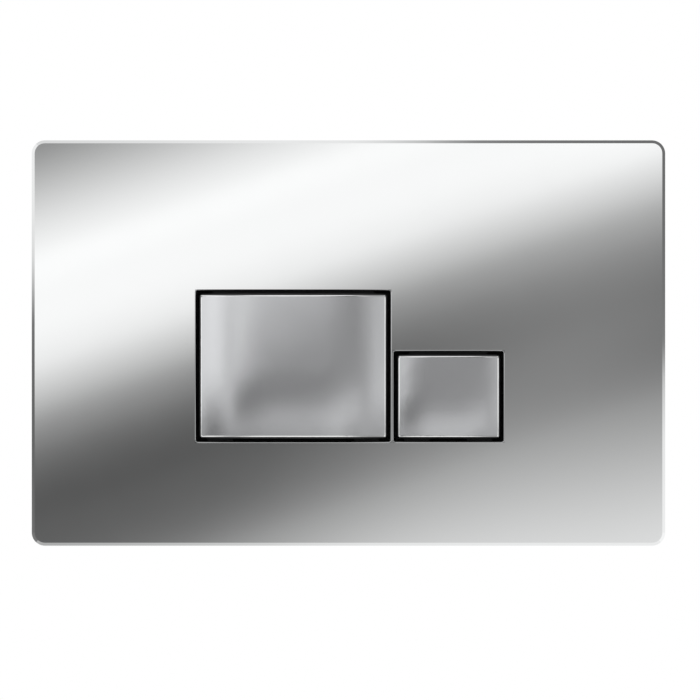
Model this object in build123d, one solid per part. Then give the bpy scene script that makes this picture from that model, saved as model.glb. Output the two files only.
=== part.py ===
from build123d import *
import math
import os

# Dual-flush plate for a concealed cistern.
# The plate faces -Y and +Z is up. The origin is the plate's centre on the finished wall, the plane y = 0.
# Both buttons hinge on one pin above the openings and push rods that run back through the wall.
# A box is written as (left, right, bottom, top), as seen from the front.

# Driving dimensions, in millimetres and degrees

# Front plate
plate_width = 250.0
plate_height = 160.0
plate_depth = 12.0
plate_corner = 5.2
plate_bevel = 1.2
face_wall = 2.5
skirt_wall = 2.4
opening_corner = 0.8
opening_lip = 0.5
lip_share = 0.45
collar_wall = 2.0
collar_depth = 4.0
plate_rib = 1.4
plate_rib_height = 2.0

# Buttons
full_width = 74.0
full_height = 57.0
half_width = 40.6
half_height = 33.0
button_gap = 1.3
opening_bar = 1.4
row_centre = 0.5
row_base = -38.9
button_edge = 1.2
button_face_corner = 0.3
button_proud = 0.2
button_face = 2.1
button_wall = 2.0
full_flat = 18.0
full_side_fall = 2.6
full_roll = 30.0
full_roll_fall = 1.1
half_flat = 10.0
half_side_fall = 0.9
half_roll = 20.0
half_roll_fall = 0.6
pillow_power = 2.6
pillow_columns = 12
pillow_rows = 10

# Hinge
press_angle = 5.5
pin_diameter = 3.0
pin_end = 1.2
hub_wall = 1.95
arm_width = 6.0
arm_thick = 3.0
arm_inset = 8.0
arm_foot = 10.0
gusset_wall = 2.4
web_wall = 1.4
clip_wall = 1.8
clip_thick = 0.6
clip_groove = 0.35
clip_slot = 1.8

# Stops
lug_width = 10.0
lug_thick = 2.5
lug_overhang = 0.6
buffer_width = 8.0
buffer_thick = 1.0

# Return springs
spring_mean = 7.0
spring_wire = 0.8
spring_coils = 6.5
spring_spread = 40.0
peg_height = 2.6

# Button tray and its screws
tray_wall = 2.0
tray_corner = 3.0
bearing_wall = 2.4
ear_lip = 1.0
ear_thick = 2.5
ear_end = 9.0
boss_wall = 2.05
boss_height = 5.5
screw_diameter = 2.9
screw_length = 7.0
screw_rim = 1.55
screw_head_thick = 2.2
recess_wall = 1.0
recess_span = 3.6
recess_depth = 1.2

# Push rods, adjusting heads and guides
rod_height = 14.4
rod_diameter = 8.0
rod_length = 84.0
rod_tip = 14.0
rod_tip_bevel = 1.0
groove_depth = 0.5
groove_width = 1.0
groove_pitch = 6.0
groove_count = 5
pusher_diameter = 10.0
pusher_reach = 2.0
head_diameter = 14.0
head_thick = 2.6
head_dome = 18.0
head_flute = 2.0
head_flutes = 12
stud_diameter = 5.0
stud_length = 13.0
nut_wall = 1.5
nut_thick = 3.2
guide_wall = 1.95
guide_lip = 2.5
guide_lip_thick = 2.0
guide_tail = 6.0

# Mounting frame
frame_thick = 3.5
frame_corner = 10.0
window_corner = 4.0
rim_wall = 2.0

# Rod bridge
leg_wall = 3.5
foot_lip = 6.0
foot_thick = 2.0
bridge_edge = 1.5
bridge_thick = 4.0
bridge_rib = 2.0
bridge_rib_height = 4.0

# Snap arms of the frame and their catches on the plate
snap_span = 110.0
snap_width = 12.0
snap_wall = 1.8
nose_height = 1.4
nose_depth = 0.9
catch_wall = 2.5
catch_ledge = 1.5

# Fixing bolts
bolt_diameter = 6.0
bolt_neck = 6.4
bolt_neck_tail = 1.0
bolt_reach = 75.0
bolt_bevel = 0.8
bolt_head = 14.0
bolt_slot = 1.6
bolt_slot_depth = 1.8
washer_diameter = 17.0
washer_thick = 1.0
slot_play = 7.2

# Clearances
running_fit = 0.05
seat_gap = 0.05
contact_gap = 0.1
loose_fit = 0.2
snap_gap = 0.2
side_play = 0.3
rim_gap = 0.3
arm_gap = 0.5
spring_gap = 0.7
rod_stop_gap = 0.8
head_gap = 1.0
rib_gap = 1.0
tray_gap = 1.0
pusher_gap = 1.1
sweep_gap = 1.3
washer_gap = 1.4
hub_gap = 1.9
window_gap = 3.0
frame_gap = 8.6

# How far joined shapes run into each other and cutters run past a face
bite = 1.0


# Boxes seen from the front

def grown(box, margin):
    """The box with each side moved out by a margin."""
    left, right, bottom, top = box
    return (left - margin, right + margin, bottom - margin, top + margin)


def middle(box):
    """The centre of a box, across and up."""
    return (box[0] + box[1]) / 2, (box[2] + box[3]) / 2


def centred(width, height):
    """A box around the origin."""
    return (-width / 2, width / 2, -height / 2, height / 2)


def across(x, width, z_one, z_two):
    """A box of a given width centred on x, between two heights in either order."""
    return (x - width / 2, x + width / 2, min(z_one, z_two), max(z_one, z_two))


# Openings and buttons in a row, level at their lower edges
full_opening_width = full_width + 2 * button_gap
half_opening_width = half_width + 2 * button_gap
row_width = full_opening_width + opening_bar + half_opening_width
row_left = row_centre - row_width / 2
row_right = row_left + row_width
bar_left = row_left + full_opening_width
bar_right = bar_left + opening_bar
full_top = row_base + full_height + 2 * button_gap
half_top = row_base + half_height + 2 * button_gap
full_opening = (row_left, bar_left, row_base, full_top)
half_opening = (bar_right, row_right, row_base, half_top)
full_box = grown(full_opening, -button_gap)
half_box = grown(half_opening, -button_gap)
full_x = middle(full_box)[0]
half_x = middle(half_box)[0]

# Diameters that follow a shaft and a wall
hub_diameter = pin_diameter + 2 * (running_fit + hub_wall)
clip_diameter = pin_diameter + 2 * clip_wall
groove_diameter = pin_diameter - 2 * clip_groove
boss_diameter = screw_diameter + 2 * boss_wall
screw_head = screw_diameter + 2 * screw_rim
guide_diameter = rod_diameter + 2 * (running_fit + guide_wall)
guide_flange = guide_diameter + 2 * guide_lip
peg_diameter = spring_mean - spring_wire - 2 * loose_fit
spring_outer = spring_mean + spring_wire

# Depths of the plate, the hinge and the tray, from the face back into the wall
press = math.radians(press_angle)
face_front = -plate_depth
face_back = face_front + face_wall
face_root = face_back - face_wall / 2
collar_back = face_back + collar_depth
arm_front = collar_back + arm_gap
arm_back = arm_front + arm_thick
pivot_y = (arm_front + arm_back) / 2
pivot_z = full_top + collar_wall + hub_gap + hub_diameter / 2
cap_back = arm_front + arm_thick / 3
cap_ceiling = face_front - button_proud + button_face
cap_root = cap_ceiling - button_face / 2
lug_front = collar_back + seat_gap + buffer_thick
lug_back = lug_front + lug_thick
lug_base = row_base - collar_wall - lug_overhang
tray_front = face_back + rim_gap
tray_floor = lug_back + (pivot_z - lug_base) * math.sin(press) + sweep_gap
tray_back = tray_floor + tray_wall
tray_root = tray_floor + tray_wall / 2
ear_front = face_back + boss_height
ear_back = ear_front + ear_thick

# A pusher meets its domed rod head on a plane that tilts with the button.
rod_z = row_base + rod_height
rod_arm = pivot_z - rod_z
pusher_end = tray_back + pusher_reach
pusher_swing = (pusher_end - pivot_y) * math.sin(press) + rod_arm * (1 - math.cos(press))
dome_reach = pusher_end - pivot_y + head_dome
rod_travel = (dome_reach + rod_arm * math.sin(press)) / math.cos(press) - dome_reach
head_front = pusher_end + contact_gap
head_rise = head_dome - math.sqrt(head_dome**2 - (head_diameter / 2) ** 2)
head_back = head_front + head_rise + head_thick
rod_front = head_back + nut_thick
rod_back = rod_front + rod_length
guide_front = rod_front + rod_travel + rod_stop_gap
bridge_front = guide_front + guide_lip_thick
bridge_back = bridge_front + bridge_thick
guide_back = bridge_back + guide_tail

# Springs sit just above the pushers.
spring_z = rod_z + (pusher_diameter + spring_outer) / 2 + spring_gap
full_springs = (full_x - spring_spread / 2, full_x + spring_spread / 2)
half_springs = (half_x,)

# Shapes of the two button fronts
full_front = (full_flat, full_side_fall, full_roll, full_roll_fall)
half_front = (half_flat, half_side_fall, half_roll, half_roll_fall)

# Each button has an arm near each side.
full_arms = (full_box[0] + arm_inset, full_box[1] - arm_inset)
half_arms = (half_box[0] + arm_inset, half_box[1] - arm_inset)

# The tray wraps the collars, the hubs and the stop lugs, with screw ears on its left and right.
tray_inner = (
    row_left - collar_wall - tray_gap,
    row_right + collar_wall + tray_gap,
    lug_base - tray_gap,
    pivot_z + hub_diameter / 2 + tray_gap,
)
tray_box = grown(tray_inner, tray_wall)
ear_height = boss_diameter + 2 * ear_lip
screw_offset = boss_diameter / 2 + tray_gap
ear_reach = screw_offset + ear_height / 2
ear_low = tray_box[2] + ear_end
ear_high = pivot_z - hub_diameter / 2 - tray_gap - ear_height / 2
ear_zs = (ear_low, (ear_low + ear_high) / 2, ear_high)
screw_xs = (tray_box[0] - screw_offset, tray_box[1] + screw_offset)
screw_spots = [(x, z) for x in screw_xs for z in ear_zs]

# The frame lies on the wall inside the plate's skirt, and its window clears the tray and its ears.
plate_box = centred(plate_width, plate_height)
skirt_box = grown(plate_box, -skirt_wall)
frame_box = grown(skirt_box, -frame_gap)
frame_top = frame_box[3]
frame_front = -frame_thick
window_reach = max(-tray_box[0], tray_box[1]) + ear_reach + window_gap
window = (-window_reach, window_reach, tray_box[2] - window_gap, tray_box[3] + window_gap)
rim_front = face_back + plate_rib_height + rib_gap
snap_tip = face_back + head_gap
snap_xs = (-snap_span / 2, snap_span / 2)
bolt_x = window_reach + rim_wall + washer_gap + washer_diameter / 2
bolt_xs = (-bolt_x, bolt_x)
bolt_seat = frame_front - washer_thick
bolt_top = face_back + head_gap

# The bridge behind the tray stands on two legs that pass through notches beside the window.
bridge_low = rod_z - guide_flange / 2 - bridge_edge
bridge_high = rod_z + guide_flange / 2 + bridge_edge
leg_left = window[0] - leg_wall
leg_right = window[1] + leg_wall
legs = ((leg_left, window[0], bridge_low, bridge_high), (window[1], leg_right, bridge_low, bridge_high))
feet = (
    (leg_left - foot_lip, window[0], bridge_low, bridge_high),
    (window[1], leg_right + foot_lip, bridge_low, bridge_high),
)


# Solids along the depth axis and the hinge axis

def facing(x, y, z):
    """A work plane along the wall on which extrusions run forward, towards -Y."""
    return Plane(origin=(x, y, z), x_dir=(1, 0, 0), z_dir=(0, -1, 0))


def slab(box, corner, y_front, y_back):
    """A box seen from the front, with rounded corners, between two depths."""
    x, z = middle(box)
    width = box[1] - box[0]
    height = box[3] - box[2]
    outline = RectangleRounded(width, height, corner) if corner > 0 else Rectangle(width, height)
    return extrude(facing(x, y_back, z) * outline, amount=y_back - y_front)


def block(box, y_front, y_back):
    """A box seen from the front, with square corners, between two depths."""
    return slab(box, 0, y_front, y_back)


def frame_ring(outer, wall, corner, y_front, y_back):
    """A band of one wall's width inside a rounded box."""
    band = slab(outer, corner, y_front, y_back)
    return band - slab(grown(outer, -wall), corner - wall, y_front - bite, y_back + bite)


def bar(diameter, x, z, y_front, y_back):
    """A round bar along the depth axis."""
    return extrude(facing(x, y_back, z) * Circle(diameter / 2), amount=y_back - y_front)


def axle(diameter, x_left, x_right):
    """A round bar on the hinge axis."""
    plane = Plane(origin=(x_left, pivot_y, pivot_z), x_dir=(0, 1, 0), z_dir=(1, 0, 0))
    return extrude(plane * Circle(diameter / 2), amount=x_right - x_left)


def front_face(shape):
    """The face of a solid that lies furthest forward."""
    return shape.faces().sort_by(Axis.Y)[0]


def back_face(shape):
    """The face of a solid that lies furthest back."""
    return shape.faces().sort_by(Axis.Y)[-1]


# Front plate

def plate_shell():
    """The bevelled face with its skirt, open towards the wall."""
    shell = slab(plate_box, plate_corner, face_front, 0)
    shell = chamfer(front_face(shell).edges(), plate_bevel)
    return shell - slab(skirt_box, plate_corner - skirt_wall, face_back, bite)


def collars():
    """Guard walls behind the openings. The two share the bar between them."""
    full = block(grown(full_opening, collar_wall), face_root, collar_back)
    return full + block(grown(half_opening, collar_wall), face_root, collar_back)


def opening_cut(opening):
    """The cutter of one opening, through the face and its collar."""
    return slab(opening, opening_corner, face_front - bite, collar_back + bite)


def rounded_lips(plate):
    """The plate with the front edge of both openings rounded."""
    row = grown((row_left, row_right, row_base, full_top), bite)
    edges = plate.edges().filter_by_position(Axis.Y, face_front - seat_gap, face_front + seat_gap)
    edges = edges.filter_by_position(Axis.X, row[0], row[1])
    edges = edges.filter_by_position(Axis.Z, row[2], row[3])
    return fillet(edges, min(opening_lip, opening_bar * lip_share))


def screw_boss(x, z):
    """A blind screw boss on the back of the plate."""
    boss = bar(boss_diameter, x, z, face_root, ear_front)
    hole_front = ear_back - screw_length - loose_fit
    return boss - bar(screw_diameter + 2 * running_fit, x, z, hole_front, ear_front + bite)


def catch(x, side):
    """A ledge near the top or bottom edge, behind which a nose of the frame hooks."""
    inner = frame_top + snap_gap
    wall_in = inner + nose_depth
    wall_out = wall_in + catch_wall
    ledge_front = snap_tip + nose_height + snap_gap
    ledge_back = ledge_front + catch_ledge
    wall = block(across(x, snap_width, side * wall_in, side * wall_out), face_root, ledge_back)
    ledge = block(across(x, snap_width, side * inner, side * wall_out), ledge_front, ledge_back)
    skirt_in = skirt_box[3] + skirt_wall / 2
    rib = block(across(x, plate_rib, side * wall_in, side * skirt_in), face_root, ledge_back)
    return wall + ledge + rib


def plate_ribs():
    """Stiffening ribs on the back of the face, around the tray."""
    rise = frame_top - snap_wall - rib_gap
    high = tray_box[3] + rib_gap
    low = tray_box[2] - rib_gap
    side_x = window_reach + rim_wall / 2
    reach = 2 * side_x
    boxes = [
        across(0, reach, high, high + plate_rib),
        across(0, reach, low, low - plate_rib),
        across(-side_x, plate_rib, -rise, rise),
        across(side_x, plate_rib, -rise, rise),
    ]
    return [block(box, face_root, face_back + plate_rib_height) for box in boxes]


def make_front_plate():
    plate = plate_shell() + collars() + plate_ribs()
    plate += [screw_boss(x, z) for x, z in screw_spots]
    plate += [catch(x, side) for x in snap_xs for side in (-1, 1)]
    plate -= opening_cut(full_opening)
    plate -= opening_cut(half_opening)
    return rounded_lips(plate)


# Buttons

def eased(distance, length):
    """A smooth rise from nothing at the start of a length to one at its end."""
    return (max(distance, 0) / length) ** pillow_power


def front_fall(box, front, x, z):
    """How far a button's front lies behind its crest at one place."""
    flat, side_fall, roll, roll_fall = front
    half_width = (box[1] - box[0]) / 2
    side = eased(abs(x - middle(box)[0]) - flat / 2, half_width - flat / 2)
    low = eased(box[2] + roll - z, roll)
    return side_fall * side + roll_fall * low


def front_slice(box, front, crest, z):
    """A level slice of a button, with its front curve and a straight back."""
    left, right = box[0] - bite, box[1] + bite
    places = [left + (right - left) * step / pillow_columns for step in range(pillow_columns + 1)]
    points = [(x, crest + front_fall(box, front, x, z)) for x in places]
    back = cap_back + bite
    sides = Polyline(points[-1], (right, back), (left, back), points[0])
    return Pos(0, 0, z) * make_face([Spline(*points), sides])


def pillow(box, front, crest):
    """A body whose front is one smooth pillow, drawn through level slices from below the cap to above it."""
    low, high = box[2] - bite, box[3] + bite
    levels = [low + (high - low) * step / pillow_rows for step in range(pillow_rows + 1)]
    return loft([front_slice(box, front, crest, z) for z in levels])


def button_cap(box, front):
    """A hollow cap with a pillow front and a rounded rim. Its lower corners stand least proud."""
    crest = face_front - button_proud - front_fall(box, front, box[0], box[2])
    corner = button_face_corner + button_edge
    cap = slab(box, corner, crest - bite, cap_back) & pillow(box, front, crest)
    rim = cap.faces().sort_by(Axis.Y)[0].edges()
    cap = fillet(rim, button_edge)
    return cap - slab(grown(box, -button_wall), corner, cap_ceiling, cap_back + bite)


def hinge_arm(x, box):
    """An arm from inside the cap up to its hub on the hinge pin, with a gusset under the face."""
    foot = box[3] - button_wall - arm_foot
    arm = block(across(x, arm_width, foot, pivot_z), arm_front, arm_back)
    gusset = block(across(x, gusset_wall, foot, box[3] - button_wall / 2), cap_root, arm_back)
    return arm + gusset + axle(hub_diameter, x - arm_width / 2, x + arm_width / 2)


def hub_bore(x):
    """The running bore of one hub."""
    reach = arm_width / 2 + bite
    return axle(pin_diameter + 2 * running_fit, x - reach, x + reach)


def arm_web(arms, box):
    """A thin web that ties the two arms together."""
    top = pivot_z - hub_diameter / 2 - arm_gap
    span = (arms[0], arms[1], box[3] - button_wall, top)
    return block(span, pivot_y - web_wall / 2, pivot_y + web_wall / 2)


def stop_lug(x, box):
    """A lug below the cap that stops against the collar through a rubber buffer."""
    inside = box[2] + button_wall
    lug = block(across(x, lug_width, lug_base, inside), lug_front, lug_back)
    return lug + block(across(x, lug_width, box[2], inside), cap_root, lug_back)


def make_button(box, front, arms, springs):
    """One button with its arms, stop lugs, pusher and spring pegs."""
    x = middle(box)[0]
    button = button_cap(box, front) + arm_web(arms, box)
    button += [hinge_arm(arm, box) for arm in arms]
    button += [stop_lug(arm, box) for arm in arms]
    button += bar(pusher_diameter, x, rod_z, cap_root, pusher_end)
    button += [bar(peg_diameter, spring, spring_z, cap_root, cap_ceiling + peg_height) for spring in springs]
    return button - [hub_bore(arm) for arm in arms]


def make_buffers(arms):
    """Rubber pads between the stop lugs and the collar."""
    top = row_base - loose_fit
    bottom = row_base - collar_wall
    pads = [block(across(x, buffer_width, bottom, top), lug_front - buffer_thick, lug_front) for x in arms]
    return Compound(children=pads)


# Tray behind the openings

def tray_shell():
    """A shallow box with its floor towards the wall."""
    shell = slab(tray_box, tray_corner, tray_front, tray_back)
    return shell - slab(tray_inner, tray_corner - tray_wall, tray_front - bite, tray_floor)


def tray_ear(x, z):
    """A rounded ear that sits on a boss of the plate."""
    wall_x = max(min(x, tray_inner[1]), tray_inner[0])
    tab_box = (min(x, wall_x), max(x, wall_x), z - ear_height / 2, z + ear_height / 2)
    ear = block(tab_box, ear_front, ear_back) + bar(ear_height, x, z, ear_front, ear_back)
    return ear - bar(screw_diameter + 2 * loose_fit, x, z, ear_front - bite, ear_back + bite)


def bearing(x):
    """A wall on the floor that carries the hinge pin."""
    foot = full_top + collar_wall + tray_gap
    box = across(x, bearing_wall, foot, tray_inner[3] + tray_wall / 2)
    return block(box, pivot_y - hub_diameter / 2, tray_root)


def bearings():
    """One bearing wall on the outer side of each hinge arm."""
    offset = arm_width / 2 + side_play + bearing_wall / 2
    left = [bearing(arms[0] - offset) for arms in (full_arms, half_arms)]
    return left + [bearing(arms[1] + offset) for arms in (full_arms, half_arms)]


def make_button_tray():
    tray = tray_shell() + bearings()
    tray += [tray_ear(x, z) for x, z in screw_spots]
    for x in full_springs + half_springs:
        tray += bar(peg_diameter, x, spring_z, tray_floor - peg_height, tray_root)
    hole = pusher_diameter + 2 * (pusher_swing + pusher_gap)
    for x in (full_x, half_x):
        tray -= bar(hole, x, rod_z, tray_floor - bite, tray_back + bite)
    return tray - axle(pin_diameter + 2 * running_fit, tray_box[0] - bite, tray_box[1] + bite)


def tray_screw(x, z):
    """A pan-head screw with a cross recess, driven forward into its boss."""
    head_end = ear_back + screw_head_thick
    head = bar(screw_head, x, z, ear_back, head_end)
    head = fillet(back_face(head).edges(), screw_head_thick / 2)
    screw = head + bar(screw_diameter, x, z, ear_back - screw_length, ear_back + screw_head_thick / 4)
    for width, height in ((recess_span, recess_wall), (recess_wall, recess_span)):
        recess = across(x, width, z - height / 2, z + height / 2)
        screw -= block(recess, head_end - recess_depth, head_end + bite)
    return screw


def make_tray_screws():
    return Compound(children=[tray_screw(x, z) for x, z in screw_spots])


# Hinge pin and the clips that keep it in the tray

clip_room = clip_thick + 2 * seat_gap
clip_starts = (tray_box[0] - clip_room, tray_box[1])


def make_pivot_pin():
    pin = axle(pin_diameter, tray_box[0] - clip_room - pin_end, tray_box[1] + clip_room + pin_end)
    for x in clip_starts:
        pin -= axle(pin_diameter + bite, x, x + clip_room) - axle(groove_diameter, x, x + clip_room)
    return pin


def pin_clip(x):
    """An open ring that snaps into the pin's groove from below."""
    left = x + seat_gap
    right = left + clip_thick
    clip = axle(clip_diameter, left, right)
    clip -= axle(groove_diameter + 2 * running_fit, left - bite, right + bite)
    slot_box = (left - bite, right + bite, pivot_z - clip_diameter, pivot_z)
    return clip - block(slot_box, pivot_y - clip_slot / 2, pivot_y + clip_slot / 2)


def make_pin_clips():
    return Compound(children=[pin_clip(x) for x in clip_starts])


# Return springs

def make_spring(x):
    """A compression spring between the tray's floor and the inside of a cap."""
    back = tray_floor - spring_wire / 2
    length = back - (cap_ceiling + spring_wire / 2)
    path = Helix(
        pitch=length / spring_coils,
        height=length,
        radius=spring_mean / 2,
        center=(x, back, spring_z),
        direction=(0, -1, 0),
    )
    section = Plane(origin=path @ 0, z_dir=path % 0) * Circle(spring_wire / 2)
    return sweep(section, path=path, is_frenet=True)


# Mounting frame

def bolt_slot_cut(x):
    """A tall slot that lets the frame be set straight before its bolt is tightened."""
    width = bolt_neck + 2 * loose_fit
    outline = SlotOverall(width + slot_play, width, rotation=90)
    return extrude(facing(x, bite, 0) * outline, amount=frame_thick + 2 * bite)


def snap_arm(x, side):
    """An arm with a nose that hooks onto a catch of the plate."""
    foot = side * (frame_top - snap_wall)
    arm = block(across(x, snap_width, foot, side * frame_top), snap_tip, frame_front / 2)
    nose = across(x, snap_width, foot, side * (frame_top + nose_depth))
    return arm + block(nose, snap_tip, snap_tip + nose_height)


def make_mounting_frame():
    frame = slab(frame_box, frame_corner, frame_front, 0)
    frame -= slab(window, window_corner, frame_front - bite, bite)
    window_rim = grown(window, rim_wall)
    frame += frame_ring(frame_box, rim_wall, frame_corner, rim_front, frame_front / 2)
    frame += frame_ring(window_rim, rim_wall, window_corner + rim_wall, rim_front, frame_front / 2)
    frame += [snap_arm(x, side) for x in snap_xs for side in (-1, 1)]
    frame -= [block(grown(foot, seat_gap), rim_front - bite, frame_front) for foot in feet]
    frame -= [block(grown(leg, seat_gap), frame_front - bite, bite) for leg in legs]
    return frame - [bolt_slot_cut(x) for x in bolt_xs]


# Rod bridge

def make_rod_bridge():
    """A ribbed bridge that carries the rod guides, on two legs whose feet rest on the frame's front."""
    bridge = block((leg_left, leg_right, bridge_low, bridge_high), bridge_front, bridge_back)
    bridge += [block(leg, frame_front - foot_thick, bridge_back) for leg in legs]
    bridge += [block(foot, frame_front - foot_thick, frame_front) for foot in feet]
    for z in (bridge_low, bridge_high - bridge_rib):
        rib = (leg_left, leg_right, z, z + bridge_rib)
        bridge += block(rib, bridge_front, bridge_back + bridge_rib_height)
    for x in (full_x, half_x):
        bridge -= bar(guide_diameter + 2 * running_fit, x, rod_z, bridge_front - bite, bridge_back + bite)
    return bridge


# Fixing bolts

def fixing_bolt(x):
    """A slotted bolt with a plain neck through the frame and a long threaded end."""
    head = bar(bolt_head, x, 0, bolt_top, bolt_seat)
    slot_box = across(x, bolt_head + bite, -bolt_slot / 2, bolt_slot / 2)
    head -= block(slot_box, bolt_top - bite, bolt_top + bolt_slot_depth)
    neck = bar(bolt_neck, x, 0, (bolt_top + bolt_seat) / 2, bolt_neck_tail)
    thread = bar(bolt_diameter, x, 0, 0, bolt_reach)
    return head + neck + chamfer(back_face(thread).edges(), bolt_bevel)


def fixing_washer(x):
    washer = bar(washer_diameter, x, 0, bolt_seat, frame_front)
    return washer - bar(bolt_neck + 2 * running_fit, x, 0, bolt_seat - bite, frame_front + bite)


# Push rods

def make_push_rod(x):
    """A plain rod with a threaded front bore, and grooves where it is cut to length."""
    rod = bar(rod_diameter, x, rod_z, rod_front, rod_back)
    rod = chamfer(back_face(rod).edges(), rod_tip_bevel)
    rod -= bar(stud_diameter + 2 * running_fit, x, rod_z, rod_front - bite, rod_front + stud_length)
    for index in range(groove_count):
        back = rod_back - rod_tip - index * groove_pitch
        front = back - groove_width
        core = bar(rod_diameter - 2 * groove_depth, x, rod_z, front, back)
        rod -= bar(rod_diameter + bite, x, rod_z, front, back) - core
    return rod


def make_rod_head(x):
    """A domed, fluted adjusting head with a stud that screws into the rod."""
    head = bar(head_diameter, x, rod_z, head_front, head_back)
    head = head & (Pos(x, head_front + head_dome, rod_z) * Sphere(head_dome))
    for index in range(head_flutes):
        angle = 2 * math.pi * index / head_flutes
        flute_x = x + head_diameter / 2 * math.cos(angle)
        flute_z = rod_z + head_diameter / 2 * math.sin(angle)
        head -= bar(head_flute, flute_x, flute_z, head_front - bite, head_back + bite)
    return head + bar(stud_diameter, x, rod_z, head_back - head_thick / 2, head_back + stud_length)


def make_lock_nut(x):
    """A hexagon nut between the head and the rod."""
    flat_radius = stud_diameter / 2 + nut_wall
    outline = RegularPolygon(flat_radius, 6, major_radius=False)
    nut = extrude(facing(x, rod_front, rod_z) * outline, amount=nut_thick)
    return nut - bar(stud_diameter + 2 * running_fit, x, rod_z, head_back - bite, rod_front + bite)


def make_rod_guide(x):
    """A flanged bush that seats in the bridge."""
    guide = bar(guide_flange, x, rod_z, guide_front, bridge_front)
    guide += bar(guide_diameter, x, rod_z, guide_front, guide_back)
    return guide - bar(rod_diameter + 2 * running_fit, x, rod_z, guide_front - bite, guide_back + bite)


# Every node of the assembly

def make_nodes():
    return {
        "front_plate": make_front_plate(),
        "full_flush_button": make_button(full_box, full_front, full_arms, full_springs),
        "half_flush_button": make_button(half_box, half_front, half_arms, half_springs),
        "full_button_buffers": make_buffers(full_arms),
        "half_button_buffers": make_buffers(half_arms),
        "button_tray": make_button_tray(),
        "tray_screws": make_tray_screws(),
        "pivot_pin": make_pivot_pin(),
        "pin_clips": make_pin_clips(),
        "full_return_spring_left": make_spring(full_springs[0]),
        "full_return_spring_right": make_spring(full_springs[1]),
        "half_return_spring": make_spring(half_springs[0]),
        "mounting_frame": make_mounting_frame(),
        "rod_bridge": make_rod_bridge(),
        "fixing_bolts": Compound(children=[fixing_bolt(x) for x in bolt_xs]),
        "fixing_washers": Compound(children=[fixing_washer(x) for x in bolt_xs]),
        "full_push_rod": make_push_rod(full_x),
        "half_push_rod": make_push_rod(half_x),
        "full_rod_head": make_rod_head(full_x),
        "half_rod_head": make_rod_head(half_x),
        "full_rod_lock_nut": make_lock_nut(full_x),
        "half_rod_lock_nut": make_lock_nut(half_x),
        "full_rod_guide": make_rod_guide(full_x),
        "half_rod_guide": make_rod_guide(half_x),
    }


os.makedirs("parts", exist_ok=True)
for name, shape in make_nodes().items():
    export_step(shape, f"parts/{name}.step")
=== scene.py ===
import math

import bmesh
import bpy
from mathutils import Matrix, Vector


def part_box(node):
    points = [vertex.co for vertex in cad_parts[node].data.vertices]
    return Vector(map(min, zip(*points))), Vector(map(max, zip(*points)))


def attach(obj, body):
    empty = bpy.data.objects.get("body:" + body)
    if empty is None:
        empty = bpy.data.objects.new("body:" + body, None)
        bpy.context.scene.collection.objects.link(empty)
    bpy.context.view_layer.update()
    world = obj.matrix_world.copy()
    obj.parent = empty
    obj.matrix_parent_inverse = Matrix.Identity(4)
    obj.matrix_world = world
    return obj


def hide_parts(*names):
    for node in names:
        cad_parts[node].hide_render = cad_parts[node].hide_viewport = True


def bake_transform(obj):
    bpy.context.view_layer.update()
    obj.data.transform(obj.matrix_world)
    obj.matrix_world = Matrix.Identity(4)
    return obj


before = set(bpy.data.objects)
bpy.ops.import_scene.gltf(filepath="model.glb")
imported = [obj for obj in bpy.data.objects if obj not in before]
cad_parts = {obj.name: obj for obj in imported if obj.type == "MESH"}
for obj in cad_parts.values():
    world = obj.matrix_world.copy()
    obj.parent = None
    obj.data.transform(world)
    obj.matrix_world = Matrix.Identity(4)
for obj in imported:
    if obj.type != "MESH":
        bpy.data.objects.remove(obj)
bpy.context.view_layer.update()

bl_info = {
    "name": "Dual flush plate",
    "version": (1, 0, 0),
    "blender": (4, 5, 0),
    "location": "3D View > Sidebar > Flush plate",
    "description": "Gives a dual flush plate its finishes, springs and bolts, and a plain studio",
    "category": "Object",
}

MM = 0.001
BUTTONS = ("full_flush_button", "half_flush_button")
# A length in metres that reaches past every piece
PAST_ALL = 1.0

# Finishes: the depth where the buttons' chrome stops and black painted shade starts, well inside
# the openings
PAINTED_SHADE_DEPTH = -8.0 * MM
# How far the chrome stops short of a button's sides, which are painted shade, and the width of its
# polished rim
PAINTED_SHADE_INSET = 0.56 * MM
POLISHED_RIM = 0.44 * MM
# How far a button's side is from the far side of its opening's rim, which is darkened as painted
# shade
LIP_SHADE_REACH = 1.75 * MM
# How far behind the plate's face and inside its sides the unpolished inside starts, darkened as
# painted shade
FACE_WALL = 2.4 * MM
SKIRT_WALL = 2.3 * MM
# Sizes of the marks on the finishes: buffing, blasting, flow of the plastic, clouds in the zinc
BUFFED_MARK = 14 * MM
BLASTED_GRAIN = 0.5 * MM
FLOW_MARK = 40 * MM
ZINC_CLOUD = 3 * MM

# Meshes: edges sharper than this aren't smoothed, closer points are merged, cuts are this exact
SHARP_ANGLE = math.radians(35)
MERGE_REACH = 0.001 * MM
CUT_REACH = 1e-8
# Facets of one turn of the springs, their wire, the heads, the turned bars and the thread
SPRING_STEPS = 28
WIRE_STEPS = 12
HEAD_STEPS = 48
BAR_STEPS = 32
THREAD_STEPS = 20
# Rise of a spring's closed end coils, by the wire
CLOSED_RISE = 1.02
# Bevel of a bolt's head, and how near its outside a point of its rim lies
HEAD_BEVEL = 0.5 * MM
RIM_SHARE = 0.98
# Slack for finding points by their depth
DEPTH_SLACK = 0.01 * MM
# Width of a bolt's point, by the root of its thread
POINT_SHARE = 0.7

# Studio: a card's tones are written as the chrome shows them, so it glows brighter by this share
CARD_GAIN = 1.13
# How far the front card and the side cards reach from the middle
CARD_EDGE = 480 * MM
ROOM_EDGE = 780 * MM
# The room's light on everything that isn't a mirror
ROOM_LIGHT = 0.62


# Colours and shader nodes

def linear(code):
    """A linear colour from an sRGB hex code."""
    channels = [int(code[i:i + 2], 16) / 255 for i in (1, 3, 5)]
    return tuple(c / 12.92 if c <= 0.04045 else ((c + 0.055) / 1.055) ** 2.4 for c in channels)


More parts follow.
